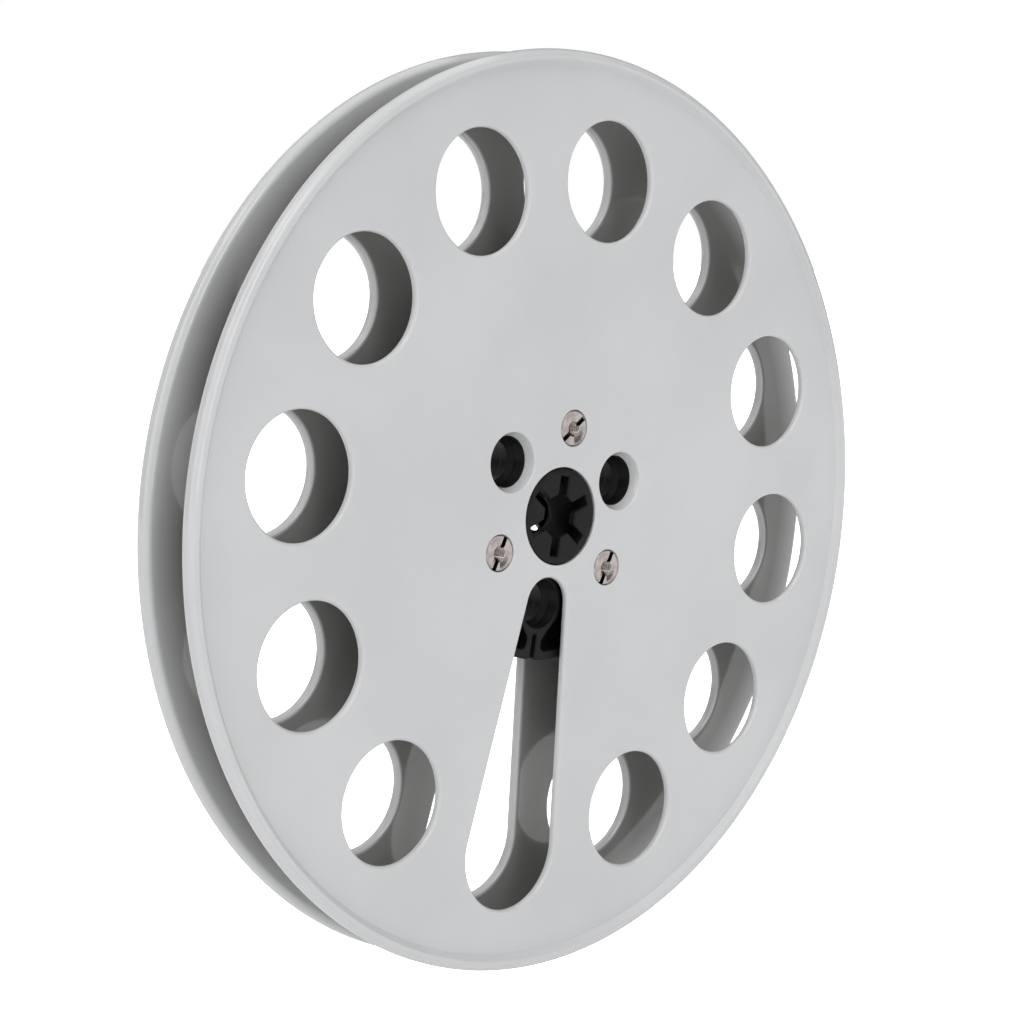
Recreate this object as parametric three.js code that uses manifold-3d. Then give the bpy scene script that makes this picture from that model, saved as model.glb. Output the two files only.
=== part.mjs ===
// A 178 mm flanged reel for narrow film or tape: two moulded flanges bolted to a ribbed plastic hub.
//
// Frame: millimetres, +Z up, the reel's axle along Y, the front face towards -Y.
// The origin is the reel's centre, half way between the flanges.
// Angles are measured in the XZ plane from +X towards +Z, as seen from the front.

import * as THREE from 'three';
import { mergeVertices } from 'three/addons/utils/BufferGeometryUtils.js';
import Module from 'manifold-3d';

const wasm = await Module();
wasm.setup();

// ---------------------------------------------------------------- driving dimensions

const REEL_RADIUS = 89;
const OVERALL_WIDTH = 16.2;
const GAP_BETWEEN_FLANGES = 9.6;
const PLATE_THICKNESS = 2;
const BEAD_WIDTH = 3;
const RIM_OUTER_ROUNDING = 1.5;
const RIM_INNER_ROUNDING = 1.7;

const WINDOW_COUNT = 12;
const WINDOW_RADIUS = 11.7;
const WINDOW_CIRCLE_RADIUS = 65.6;
const PATTERN_TURN = 18.07;
const TEARDROP_STEP = 8;
const TEARDROP_NECK_RADIUS = 5.3;

const FINGER_CIRCLE_RADIUS = 17.4;
const FINGER_HOLE_RADIUS = 5;
const THREE_FOLD = 3;

const HUB_RADIUS = 28.5;
const HUB_RING_WALL = 1.7;
const HUB_CLEARANCE = 0.25;
const HUB_WEB_THICKNESS = 1.2;
const FINGER_TUBE_BORE = 4.85;
const FINGER_TUBE_WALL = 1.05;
const FINGER_WEB_BORE = 4.3;
const RIB_THICKNESS = 1.4;

const SPINDLE_BOSS_RADIUS = 9.4;
const SPINDLE_BOSS_RECESS = 0.27;
const SPINDLE_BOSS_CLEARANCE = 0.2;
const SPINDLE_MOUTH_RADIUS = 4.15;
const SPINDLE_WEB_BORE = 3.5;
const SPLINE_SLOT_RADIUS = 7.85;
const SPLINE_SLOT_WIDTH = 2.2;
const SPLINE_PLATE_THICKNESS = 1.5;

const LEADER_SLIT_WIDTH = 1.1;
const LEADER_RIB_WIDTH = 4;

const FASTENER_CIRCLE_RADIUS = 17.3;
const FASTENER_HEAD_RADIUS = 3.45;
const FASTENER_HEAD_HEIGHT = 1.2;
const FASTENER_HEAD_CLEARANCE = 0.15;
const DRIVER_SLOT_WIDTH = 1;
const DRIVER_SLOT_DEPTH = 0.7;
const NUT_BARREL_RADIUS = 2.3;
const NUT_BORE_RADIUS = 1.5;
const NUT_END_GAP = 0.6;
const SCREW_RADIUS = 1.2;
const SCREW_LENGTH = 8;
const FASTENER_BOSS_WALL = 1.2;
const RUNNING_GAP = 0.3;

// ---------------------------------------------------------------- worked-out dimensions

const INNER_FACE = GAP_BETWEEN_FLANGES / 2;
const HALF_WEB = HUB_WEB_THICKNESS / 2;
const PLATE_FACE = INNER_FACE + PLATE_THICKNESS;
const BEAD_FACE = OVERALL_WIDTH / 2;
const HUB_FACE = INNER_FACE - HUB_CLEARANCE;
const BOSS_FACE = PLATE_FACE - SPINDLE_BOSS_RECESS;
const WINDOW_PITCH = 360 / WINDOW_COUNT;
const TEARDROP_ANGLE = PATTERN_TURN + TEARDROP_STEP * WINDOW_PITCH;
const RIB_REACH = HUB_RADIUS - HUB_RING_WALL / 2;
const FINGER_TUBE_OUTSIDE = FINGER_TUBE_BORE + FINGER_TUBE_WALL;
const FASTENER_HOLE_RADIUS = NUT_BARREL_RADIUS + RUNNING_GAP;
const FASTENER_BOSS_RADIUS = FASTENER_HOLE_RADIUS + FASTENER_BOSS_WALL;

// The driver slots stop wherever the fasteners were tightened to.
const NUT_SLOT_ANGLES = [35, 62, 62];
const SCREW_SLOT_ANGLES = [110, 20, 155];

// Straight sides that stand for each full circle.
const RIM_SIDES = 96;
const HUB_SIDES = 48;
const WINDOW_SIDES = 32;
const SMALL_SIDES = 24;
const ROUNDING_STEPS = 2;

// ---------------------------------------------------------------- materials

function plastic(color, roughness) {
  return new THREE.MeshStandardMaterial({ color, roughness, metalness: 0 });
}

const flangePlastic = () => plastic(0xc6c7c9, 0.45);
const hubPlastic = () => plastic(0x17171a, 0.5);
const nickel = () => new THREE.MeshStandardMaterial({ color: 0x9a9290, roughness: 0.3, metalness: 1 });

// ---------------------------------------------------------------- shape helpers

const AXLE = new THREE.Vector2(0, 0);

const radians = (degrees) => THREE.MathUtils.degToRad(degrees);

/** A point in the face plane, at a distance from the axle and an angle in degrees. */
function polar(distance, degrees) {
  return new THREE.Vector2(distance * Math.cos(radians(degrees)), distance * Math.sin(radians(degrees)));
}

function circle(centre, radius) {
  return new THREE.Shape().absarc(centre.x, centre.y, radius, 0, 2 * Math.PI, false);
}

/** A rectangle that runs along an angle, from one distance to another, centred on its line. */
function bar(centre, degrees, from, to, width) {
  const along = polar(1, degrees);
  const across = new THREE.Vector2(-along.y, along.x).multiplyScalar(width / 2);
  const start = centre.clone().addScaledVector(along, from);
  const end = centre.clone().addScaledVector(along, to);
  return new THREE.Shape([
    start.clone().sub(across),
    end.clone().sub(across),
    end.clone().add(across),
    start.clone().add(across),
  ]);
}

/** The outline round two circles and the tangents that join them. */
function teardrop(smallCentre, smallRadius, largeCentre, largeRadius) {
  const line = largeCentre.clone().sub(smallCentre);
  const heading = line.angle();
  const spread = Math.acos((smallRadius - largeRadius) / line.length());
  const outline = new THREE.Shape();
  outline.absarc(smallCentre.x, smallCentre.y, smallRadius, heading + spread, heading - spread, false);
  outline.absarc(largeCentre.x, largeCentre.y, largeRadius, heading - spread, heading + spread, false);
  return outline;
}

/** Turns a closed geometry into a solid that can be cut and joined. */
function solid(geometry) {
  const bare = geometry.clone();
  bare.deleteAttribute('normal');
  bare.deleteAttribute('uv');
  const merged = mergeVertices(bare);
  return new wasm.Manifold(new wasm.Mesh({
    numProp: 3,
    vertProperties: merged.getAttribute('position').array,
    triVerts: new Uint32Array(merged.getIndex().array),
  }));
}

/** Extrudes an outline drawn in the face plane, from one depth along Y to another. */
function slab(outline, fromY, toY, sides = SMALL_SIDES) {
  const geometry = new THREE.ExtrudeGeometry(outline, {
    depth: toY - fromY,
    bevelEnabled: false,
    curveSegments: sides / 2,
  });
  geometry.rotateX(Math.PI / 2);
  geometry.translate(0, toY, 0);
  return solid(geometry);
}

/** Revolves a closed profile of [radius, y] points about the axle. */
function turned(profile) {
  const points = profile.map(([radius, y]) => new THREE.Vector2(radius, y));
  return solid(new THREE.LatheGeometry([...points, points[0]], RIM_SIDES));
}

/** Extrudes an outline between two depths on one side: -1 for the front and +1 for the back. */
function sidedSlab(outline, side, nearY, farY) {
  return side > 0 ? slab(outline, nearY, farY) : slab(outline, -farY, -nearY);
}

/** Extrudes an outline right through the reel, to cut with. */
function through(outline, sides) {
  return slab(outline, -BEAD_FACE, BEAD_FACE, sides);
}

function union(solids) {
  return solids.reduce((whole, piece) => whole.add(piece));
}

function cut(body, cutters) {
  return cutters.reduce((left, cutter) => left.subtract(cutter), body);
}

/** Makes the named mesh of a finished solid. */
function part(name, body, material) {
  const { vertProperties, triVerts } = body.getMesh();
  const geometry = new THREE.BufferGeometry();
  geometry.setAttribute('position', new THREE.BufferAttribute(vertProperties, 3));
  geometry.setIndex(new THREE.BufferAttribute(triVerts, 1));
  geometry.computeVertexNormals();
  const mesh = new THREE.Mesh(geometry, material);
  mesh.name = name;
  return mesh;
}

/** The three angles, a third of a turn apart, that begin at one angle. */
function threeFold(firstDegrees) {
  return Array.from({ length: THREE_FOLD }, (_, index) => firstDegrees + (index * 360) / THREE_FOLD);
}

const fingerAngles = threeFold(PATTERN_TURN);
const fastenerAngles = threeFold(PATTERN_TURN + 180 / THREE_FOLD);
// The film's end goes in beside the finger tube that opens into the teardrop slot.
const leaderAngle = TEARDROP_ANGLE;

// ---------------------------------------------------------------- flanges

/** Points of a quarter round from one corner face to the next, about a centre in the profile. */
function quarterRound(centreRadius, centreY, rounding, startDegrees) {
  return Array.from({ length: ROUNDING_STEPS + 1 }, (_, index) => {
    const angle = radians(startDegrees + (index * 90) / ROUNDING_STEPS);
    return [centreRadius + rounding * Math.cos(angle), centreY + rounding * Math.sin(angle)];
  });
}

/** Section of a flange on the +Y side: a flat plate with a raised bead round its rim. */
function flangeProfile() {
  const innerRound = RIM_INNER_ROUNDING;
  const outerRound = RIM_OUTER_ROUNDING;
  return [
    [SPINDLE_BOSS_RADIUS + SPINDLE_BOSS_CLEARANCE, INNER_FACE],
    ...quarterRound(REEL_RADIUS - innerRound, INNER_FACE + innerRound, innerRound, -90),
    ...quarterRound(REEL_RADIUS - outerRound, BEAD_FACE - outerRound, outerRound, 0),
    [REEL_RADIUS - BEAD_WIDTH, BEAD_FACE],
    [REEL_RADIUS - BEAD_WIDTH, PLATE_FACE],
    [SPINDLE_BOSS_RADIUS + SPINDLE_BOSS_CLEARANCE, PLATE_FACE],
  ];
}

/** The windows, the teardrop slot and the finger and fastener holes that go through a flange. */
function flangeCutters() {
  const cutters = [];
  for (let step = 0; step < WINDOW_COUNT; step += 1) {
    const centre = polar(WINDOW_CIRCLE_RADIUS, PATTERN_TURN + step * WINDOW_PITCH);
    if (step !== TEARDROP_STEP) cutters.push(through(circle(centre, WINDOW_RADIUS), WINDOW_SIDES));
  }
  const slotOutline = teardrop(
    polar(FINGER_CIRCLE_RADIUS, TEARDROP_ANGLE),
    TEARDROP_NECK_RADIUS,
    polar(WINDOW_CIRCLE_RADIUS, TEARDROP_ANGLE),
    WINDOW_RADIUS,
  );
  cutters.push(through(slotOutline, WINDOW_SIDES));
  for (const angle of fingerAngles) {
    cutters.push(through(circle(polar(FINGER_CIRCLE_RADIUS, angle), FINGER_HOLE_RADIUS)));
  }
  for (const angle of fastenerAngles) {
    cutters.push(through(circle(polar(FASTENER_CIRCLE_RADIUS, angle), FASTENER_HOLE_RADIUS)));
  }
  return cutters;
}

/** side is -1 for the front flange and +1 for the back one. */
function flange(name, side) {
  const profile = flangeProfile().map(([radius, y]) => [radius, side * y]);
  const body = turned(side > 0 ? profile : profile.reverse());
  const counterboreRadius = FASTENER_HEAD_RADIUS + FASTENER_HEAD_CLEARANCE;
  const counterboreFloor = PLATE_FACE - FASTENER_HEAD_HEIGHT - FASTENER_HEAD_CLEARANCE;
  const counterbores = fastenerAngles.map((angle) => {
    const outline = circle(polar(FASTENER_CIRCLE_RADIUS, angle), counterboreRadius);
    return sidedSlab(outline, side, counterboreFloor, BEAD_FACE);
  });
  return part(name, cut(body, [...flangeCutters(), ...counterbores]), flangePlastic());
}

// ---------------------------------------------------------------- hub

/** The star-shaped mouth that a splined spindle enters from one side: a round hole with radial slots. */
function splineMouth(side, slotAngles) {
  const cutIn = (outline) => sidedSlab(outline, side, HALF_WEB, BEAD_FACE);
  const slots = slotAngles.map((angle) => cutIn(bar(AXLE, angle, 0, SPLINE_SLOT_RADIUS, SPLINE_SLOT_WIDTH)));
  return union([cutIn(circle(AXLE, SPINDLE_MOUTH_RADIUS)), ...slots]);
}

/** Everything of the hub that stands the full width between the flanges, before any bore. */
function hubWalls() {
  const wide = (outline, sides) => slab(outline, -HUB_FACE, HUB_FACE, sides);
  const ribStart = SPINDLE_BOSS_RADIUS - RIB_THICKNESS;
  const rib = (angle) => wide(bar(AXLE, angle, ribStart, RIB_REACH, RIB_THICKNESS));
  const ring = wide(circle(AXLE, HUB_RADIUS), HUB_SIDES)
    .subtract(through(circle(AXLE, HUB_RADIUS - HUB_RING_WALL), HUB_SIDES));
  const leaderRib = wide(bar(AXLE, leaderAngle, FINGER_CIRCLE_RADIUS, RIB_REACH, LEADER_RIB_WIDTH));
  const tubes = fingerAngles.map(
    (angle) => wide(circle(polar(FINGER_CIRCLE_RADIUS, angle), FINGER_TUBE_OUTSIDE)),
  );
  const bosses = fastenerAngles.map(
    (angle) => wide(circle(polar(FASTENER_CIRCLE_RADIUS, angle), FASTENER_BOSS_RADIUS)),
  );
  return union([ring, leaderRib, ...tubes, ...bosses, ...[...fingerAngles, ...fastenerAngles].map(rib)]);
}

/** The slit that grips the film's end: from the wall of a finger tube out through the winding ring. */
function leaderSlit() {
  const innerEnd = FINGER_CIRCLE_RADIUS + FINGER_TUBE_OUTSIDE;
  const outerEnd = HUB_RADIUS + HUB_RING_WALL;
  return through(bar(AXLE, leaderAngle, innerEnd, outerEnd, LEADER_SLIT_WIDTH));
}

/** A bore that narrows to a smaller hole in the hub's mid-depth web. */
function webbedBore(centre, radius, webRadius, reach) {
  return union([
    through(circle(centre, webRadius)),
    sidedSlab(circle(centre, radius), -1, HALF_WEB, reach),
    sidedSlab(circle(centre, radius), 1, HALF_WEB, reach),
  ]);
}

function hub() {
  const web = slab(circle(AXLE, RIB_REACH), -HALF_WEB, HALF_WEB, HUB_SIDES);
  const boss = slab(circle(AXLE, SPINDLE_BOSS_RADIUS), -BOSS_FACE, BOSS_FACE, HUB_SIDES);
  const splineBack = BOSS_FACE - SPLINE_PLATE_THICKNESS;
  const cutters = [
    splineMouth(-1, [...fingerAngles, ...fastenerAngles]),
    splineMouth(1, fastenerAngles),
    webbedBore(AXLE, SPLINE_SLOT_RADIUS, SPINDLE_WEB_BORE, splineBack),
    leaderSlit(),
  ];
  for (const angle of fingerAngles) {
    const centre = polar(FINGER_CIRCLE_RADIUS, angle);
    cutters.push(webbedBore(centre, FINGER_TUBE_BORE, FINGER_WEB_BORE, BEAD_FACE));
  }
  for (const angle of fastenerAngles) {
    cutters.push(through(circle(polar(FASTENER_CIRCLE_RADIUS, angle), FASTENER_HOLE_RADIUS)));
  }
  return part('hub', cut(union([hubWalls(), web, boss]), cutters), hubPlastic());
}

// ---------------------------------------------------------------- fasteners

/** The straight slot across a fastener's head, cut in from the face on one side. */
function driverSlot(centre, degrees, side) {
  const halfLength = FASTENER_HEAD_RADIUS + FASTENER_HEAD_CLEARANCE;
  const outline = bar(centre, degrees, -halfLength, halfLength, DRIVER_SLOT_WIDTH);
  return sidedSlab(outline, side, PLATE_FACE - DRIVER_SLOT_DEPTH, BEAD_FACE);
}

/** A sleeve nut: a slotted flat head in the front flange and a tapped barrel through the hub. */
function barrelNut(name, angle, slotAngle) {
  const centre = polar(FASTENER_CIRCLE_RADIUS, angle);
  const headBack = -PLATE_FACE + FASTENER_HEAD_HEIGHT;
  const barrelEnd = PLATE_FACE - FASTENER_HEAD_HEIGHT - NUT_END_GAP;
  const body = union([
    slab(circle(centre, FASTENER_HEAD_RADIUS), -PLATE_FACE, headBack),
    slab(circle(centre, NUT_BARREL_RADIUS), -PLATE_FACE, barrelEnd),
  ]);
  const bore = through(circle(centre, NUT_BORE_RADIUS));
  return part(name, cut(body, [bore, driverSlot(centre, slotAngle, -1)]), nickel());
}

/** The screw that enters a sleeve nut from the back flange. */
function clampScrew(name, angle, slotAngle) {
  const centre = polar(FASTENER_CIRCLE_RADIUS, angle);
  const headFront = PLATE_FACE - FASTENER_HEAD_HEIGHT;
  const body = union([
    slab(circle(centre, FASTENER_HEAD_RADIUS), headFront, PLATE_FACE),
    slab(circle(centre, SCREW_RADIUS), headFront - SCREW_LENGTH, PLATE_FACE - DRIVER_SLOT_DEPTH),
  ]);
  return part(name, cut(body, [driverSlot(centre, slotAngle, 1)]), nickel());
}

// ---------------------------------------------------------------- assembly

const group = new THREE.Group();
group.add(flange('front_flange', -1));
group.add(flange('back_flange', 1));
group.add(hub());
fastenerAngles.forEach((angle, index) => {
  group.add(barrelNut(`barrel_nut_${index + 1}`, angle, NUT_SLOT_ANGLES[index]));
  group.add(clampScrew(`clamp_screw_${index + 1}`, angle, SCREW_SLOT_ANGLES[index]));
});

export default group;
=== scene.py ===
"""The looks of a 178 mm film reel: two grey moulded flanges, a black ribbed hub and nickel fasteners.

Everything is in metres in the part's own frame: the axle runs along Y, the front face is towards -Y.
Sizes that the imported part's boxes hold are read from it, and the rest are named below.
"""

import math

import bmesh
import bpy
import numpy as np
from mathutils import Matrix, Vector


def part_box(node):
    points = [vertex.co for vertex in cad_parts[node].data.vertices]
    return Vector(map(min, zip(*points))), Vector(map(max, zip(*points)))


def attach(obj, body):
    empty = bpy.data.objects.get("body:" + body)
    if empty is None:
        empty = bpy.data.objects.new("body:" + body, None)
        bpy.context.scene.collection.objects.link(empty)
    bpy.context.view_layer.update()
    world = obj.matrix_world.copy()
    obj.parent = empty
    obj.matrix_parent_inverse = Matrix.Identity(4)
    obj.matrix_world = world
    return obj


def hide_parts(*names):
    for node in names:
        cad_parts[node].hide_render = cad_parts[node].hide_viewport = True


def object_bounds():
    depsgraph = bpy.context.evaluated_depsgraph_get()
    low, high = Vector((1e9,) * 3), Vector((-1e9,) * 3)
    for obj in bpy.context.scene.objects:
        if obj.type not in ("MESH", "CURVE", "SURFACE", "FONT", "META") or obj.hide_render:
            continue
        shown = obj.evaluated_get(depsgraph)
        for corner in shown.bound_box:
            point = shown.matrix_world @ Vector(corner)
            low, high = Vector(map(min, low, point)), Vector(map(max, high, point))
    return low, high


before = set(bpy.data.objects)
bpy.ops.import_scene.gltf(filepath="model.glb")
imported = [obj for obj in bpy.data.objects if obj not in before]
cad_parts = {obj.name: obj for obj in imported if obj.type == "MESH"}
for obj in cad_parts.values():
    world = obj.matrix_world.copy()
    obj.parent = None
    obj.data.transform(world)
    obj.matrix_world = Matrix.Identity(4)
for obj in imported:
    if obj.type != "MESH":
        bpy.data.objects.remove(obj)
cad_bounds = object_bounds()

MM = 0.001
FRONT = -1
BACK = 1

# ---------------------------------------------------------------- sizes read from the part

flange_low, flange_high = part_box("back_flange")
hub_low, hub_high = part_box("hub")
nut_low, nut_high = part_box("barrel_nut_1")
screw_low, screw_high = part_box("clamp_screw_1")

REEL_RADIUS = flange_high.x
BEAD_FACE = flange_high.y
INNER_FACE = flange_low.y
HUB_RADIUS = hub_high.x
BOSS_FACE = hub_high.y
PLATE_FACE = screw_high.y
NUT_END = nut_high.y
SCREW_END = screw_low.y
HEAD_RADIUS = (nut_high.x - nut_low.x) / 2

# The fastener nearest the top sits 60 degrees past the first hole of the pattern.
nut_middle = (nut_low + nut_high) / 2
FASTENER_CIRCLE = math.hypot(nut_middle.x, nut_middle.z)
FASTENER_TURN = math.atan2(nut_middle.z, nut_middle.x)
PATTERN_TURN = FASTENER_TURN - math.pi / 3

# ---------------------------------------------------------------- sizes of the details

# The flange's rim, with a raised bead round it.
BEAD_WIDTH = 3 * MM
BEAD_OUTER_ROUND = 1.5 * MM
BEAD_FOOT_ROUND = 0.2 * MM
BEAD_TOP_ROUND = 0.25 * MM
BEAD_RAMP = 0.8 * MM
RIM_INNER_ROUND = 1.7 * MM

# The flange's openings. One window of the twelve is the wide end of the teardrop slot.
WINDOW_COUNT = 12
WINDOW_STEP = 2 * math.pi / WINDOW_COUNT
TEARDROP_STEP = 8
WINDOW_RADIUS = 11.7 * MM
WINDOW_CIRCLE = 65.6 * MM
TEARDROP_NECK_RADIUS = 5.3 * MM
FINGER_CIRCLE = 17.4 * MM
FINGER_HOLE_RADIUS = 5 * MM
FINGER_HOLE_FLARE = 0.85 * MM
FINGER_HOLE_ROUND = 0.45 * MM
CENTRE_HOLE_RADIUS = 9.6 * MM
HOLE_OUTER_ROUND = 0.7 * MM
HOLE_INNER_ROUND = 1.25 * MM
FINE_EDGE = 0.15 * MM

# The hub, with a web at mid-depth and pockets on both sides of it.
HUB_CLEARANCE = 0.25 * MM
HUB_FACE = INNER_FACE - HUB_CLEARANCE
HUB_RING_WALL = 1.7 * MM
HALF_WEB = 0.6 * MM
HUB_EDGE = 0.25 * MM
POCKET_FILLET = 1.3 * MM
POCKET_EDGE = 0.2 * MM
POCKET_FLOOR_ROUND = 0.5 * MM
FINGER_TUBE_BORE = 4.85 * MM
FINGER_TUBE_OUTSIDE = 5.9 * MM
FINGER_RIDGE_RADIUS = 4 * MM
FINGER_RIDGE_REACH = 1.9 * MM
FINGER_RIDGE_LIP = 0.9 * MM
FASTENER_BORE = 2.6 * MM
FASTENER_BOSS_RADIUS = 3.8 * MM
RIB_COUNT = 6
RIB_THICKNESS = 1.4 * MM
LEADER_RIB_WIDTH = 4 * MM
LEADER_SLIT_WIDTH = 1.1 * MM
LEADER_MOUTH_ROUND = 0.5 * MM

# The spindle boss, its star-shaped mouths and the socket between them.
BOSS_RADIUS = 9.4 * MM
BOSS_EDGE = 0.3 * MM
STAR_MOUTH_RADIUS = 4.15 * MM
STAR_SLOT_RADIUS = 7.85 * MM
STAR_SLOT_WIDTH = 2.2 * MM
STAR_BEVEL = 0.25 * MM
STAR_CORNER_ROUND = 0.2 * MM
STAR_PLATE = 1.5 * MM
SOCKET_RADIUS = 8 * MM
SOCKET_WEB_BORE = 3.45 * MM
SOCKET_WEB_EDGE = 0.2 * MM
SOCKET_CONE_FOOT = 1.8 * MM

# The fasteners. A thread's limits are its two radii.
HEAD_HEIGHT = 1.2 * MM
HEAD_CHAMFER = 0.2 * MM
COUNTERBORE_GAP = 0.15 * MM
SLOT_WIDTH = 1 * MM
SLOT_DEPTH = 0.7 * MM
SLOT_CUTTER_LENGTH = 4 * HEAD_RADIUS
NUT_BARREL_RADIUS = 2.3 * MM
NUT_MOUTH_RADIUS = 1.7 * MM
THREAD_PITCH = 0.5 * MM
NUT_THREAD = (1.25 * MM, 1.55 * MM)
SCREW_THREAD = (1.0 * MM, 1.2 * MM)
NUT_SLOT_DEGREES = (35, 62, 62)
SCREW_SLOT_DEGREES = (110, 20, 155)

# Points round the outlines, and steps along the rounded edges and the thread's pitch.
RIM_POINTS = 360
HUB_POINTS = 240
WINDOW_POINTS = 96
SMALL_POINTS = 64
SLIT_POINTS = 16
POCKET_POINTS = 144
ROUND_STEPS = 6
EDGE_STEPS = 3
THREAD_STEPS = 8

# A pocket's wall is reached by walks, each of them a share of the distance left.
POCKET_WALKS = 60
POCKET_WALK_SHARE = 0.9
POCKET_SLOPE_STEP = 0.01 * MM

CRISP_ANGLE = math.radians(40)
FLAT_FACE_WEIGHT = 100

# ---------------------------------------------------------------- turns of the three-fold pattern


def three_fold(first_turn):
    """The three angles, a third of a turn apart, that begin at one angle."""
    return [first_turn + index * 2 * math.pi / 3 for index in range(3)]


FINGER_TURNS = three_fold(PATTERN_TURN)
FASTENER_TURNS = three_fold(FASTENER_TURN)
LEADER_TURN = PATTERN_TURN + TEARDROP_STEP * WINDOW_STEP

# ---------------------------------------------------------------- outlines in the face plane


def polar(distance, turn):
    """A point of the face plane, as x and z."""
    return np.array((distance * math.cos(turn), distance * math.sin(turn)))


def axes(turn):
    """The unit vectors along an angle of the face plane and square to it."""
    along = polar(1, turn)
    return along, np.array((-along[1], along[0]))


def arc(centre, radius, start, end, count):
    """Points of an arc, both ends included."""
    return [centre + polar(radius, turn) for turn in np.linspace(start, end, count)]


def circle_outline(centre, radius, count):
    """A circle as an outline function: its points when it is grown by a distance."""

    def outline(grow):
        return arc(centre, radius + grow, 0, 2 * math.pi, count + 1)[:-1]

    return outline


def teardrop_outline(small_centre, small_radius, large_centre, large_radius):
    """The outline function round two circles and the straight tangents that join them."""
    line = large_centre - small_centre
    heading = math.atan2(line[1], line[0])
    half_spread = math.acos((small_radius - large_radius) / np.linalg.norm(line))
    first = heading - half_spread
    last = heading + half_spread

    def outline(grow):
        small = arc(small_centre, small_radius + grow, last, first + 2 * math.pi, SMALL_POINTS)
        large = arc(large_centre, large_radius + grow, first, last, WINDOW_POINTS)
        return small + large

    return outline


def star_outline(slot_turns):
    """The outline function of a splined mouth: a mouth with twelve straight edges, and radial slots."""
    corners = []
    half_width = STAR_SLOT_WIDTH / 2
    for turn in sorted(FINGER_TURNS + FASTENER_TURNS):
        along, across = axes(turn)
        corners.append(along * STAR_MOUTH_RADIUS - across * half_width)
        if turn in slot_turns:
            corners.append(along * STAR_SLOT_RADIUS - across * half_width)
            corners.append(along * STAR_SLOT_RADIUS + across * half_width)
        corners.append(along * STAR_MOUTH_RADIUS + across * half_width)
    return rounded_polygon(corners, STAR_CORNER_ROUND)


def rounded_polygon(corners, rounding):
    """The outline function of a counter-clockwise polygon whose corners are rounded."""

    def outline(grow):
        points = []
        for index, corner in enumerate(corners):
            before = corners[index - 1] - corner
            after = corners[(index + 1) % len(corners)] - corner
            before = before / np.linalg.norm(before)
            after = after / np.linalg.norm(after)
            bisector = before + after
            bisector = bisector / np.linalg.norm(bisector)
            convex = before[0] * after[1] - before[1] * after[0] < 0
            half_angle = math.acos(np.clip(np.dot(before, bisector), -1, 1))
            radius = rounding + grow if convex else rounding - grow
            middle = corner + bisector * rounding / math.sin(half_angle)
            for share in np.linspace(-1, 1, EDGE_STEPS + 1):
                tilt = share * (math.pi / 2 - half_angle) * (1 if convex else -1)
                spoke = -bisector
                turned = np.array((
                    spoke[0] * math.cos(tilt) - spoke[1] * math.sin(tilt),
                    spoke[0] * math.sin(tilt) + spoke[1] * math.cos(tilt),
                ))
                points.append(middle + turned * radius)
        return points

    return outline


def hub_outline(turn):
    """The outline function of the winding ring with the film slit cut into it at an angle."""
    along, across = axes(turn)
    half_slit = LEADER_SLIT_WIDTH / 2
    slit_end = FINGER_CIRCLE + FINGER_TUBE_OUTSIDE + half_slit
    side = half_slit + LEADER_MOUTH_ROUND
    reach = math.sqrt((HUB_RADIUS - LEADER_MOUTH_ROUND) ** 2 - side**2)
    mouth_turn = math.atan2(side, reach)

    def outline(grow):
        mouth = LEADER_MOUTH_ROUND + grow
        slit = arc(
            along * slit_end, half_slit - grow, turn - math.pi / 2, turn - 3 * math.pi / 2, SLIT_POINTS
        )
        left = along * reach + across * side
        left_mouth = arc(left, mouth, turn - math.pi / 2, turn + mouth_turn, ROUND_STEPS + 1)
        first = turn + mouth_turn
        last = turn - mouth_turn + 2 * math.pi
        ring = arc(np.zeros(2), HUB_RADIUS + grow, first, last, HUB_POINTS)[1:-1]
        right = along * reach - across * side
        right_mouth = arc(right, mouth, turn - mouth_turn, turn + math.pi / 2, ROUND_STEPS + 1)
        return slit + left_mouth + ring + right_mouth

    return outline


# ---------------------------------------------------------------- the hub's pockets


def filleted(first, second, fillet):
    """Joins two walls, each given by the distance from it, with a round fillet between them."""
    near = np.hypot(np.maximum(fillet - first, 0), np.maximum(fillet - second, 0))
    return np.maximum(fillet, np.minimum(first, second)) - near


def bar_distance(points, turn, start, end, width):
    """Distance from a bar that runs out along an angle."""
    along, across = axes(turn)
    beside = np.abs(points @ across) - width / 2
    beyond = np.abs(points @ along - (start + end) / 2) - (end - start) / 2
    outside = np.hypot(np.maximum(beside, 0), np.maximum(beyond, 0))
    return outside + np.minimum(np.maximum(beside, beyond), 0)


def wall_distance(points):
    """Distance from the hub's walls in the face plane, negative inside one."""
    from_axle = np.linalg.norm(points, axis=1)
    distance = filleted(HUB_RADIUS - HUB_RING_WALL - from_axle, from_axle - BOSS_RADIUS, POCKET_FILLET)
    for turn in FINGER_TURNS:
        tube = np.linalg.norm(points - polar(FINGER_CIRCLE, turn), axis=1) - FINGER_TUBE_OUTSIDE
        rib = bar_distance(points, turn, 0, HUB_RADIUS, RIB_THICKNESS)
        distance = filleted(distance, filleted(tube, rib, POCKET_FILLET), POCKET_FILLET)
    for turn in FASTENER_TURNS:
        boss = np.linalg.norm(points - polar(FASTENER_CIRCLE, turn), axis=1) - FASTENER_BOSS_RADIUS
        rib = bar_distance(points, turn, 0, HUB_RADIUS, RIB_THICKNESS)
        distance = filleted(distance, filleted(boss, rib, POCKET_FILLET), POCKET_FILLET)
    leader = bar_distance(points, LEADER_TURN, FINGER_CIRCLE, HUB_RADIUS, LEADER_RIB_WIDTH)
    return filleted(distance, leader, POCKET_FILLET)


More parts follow.
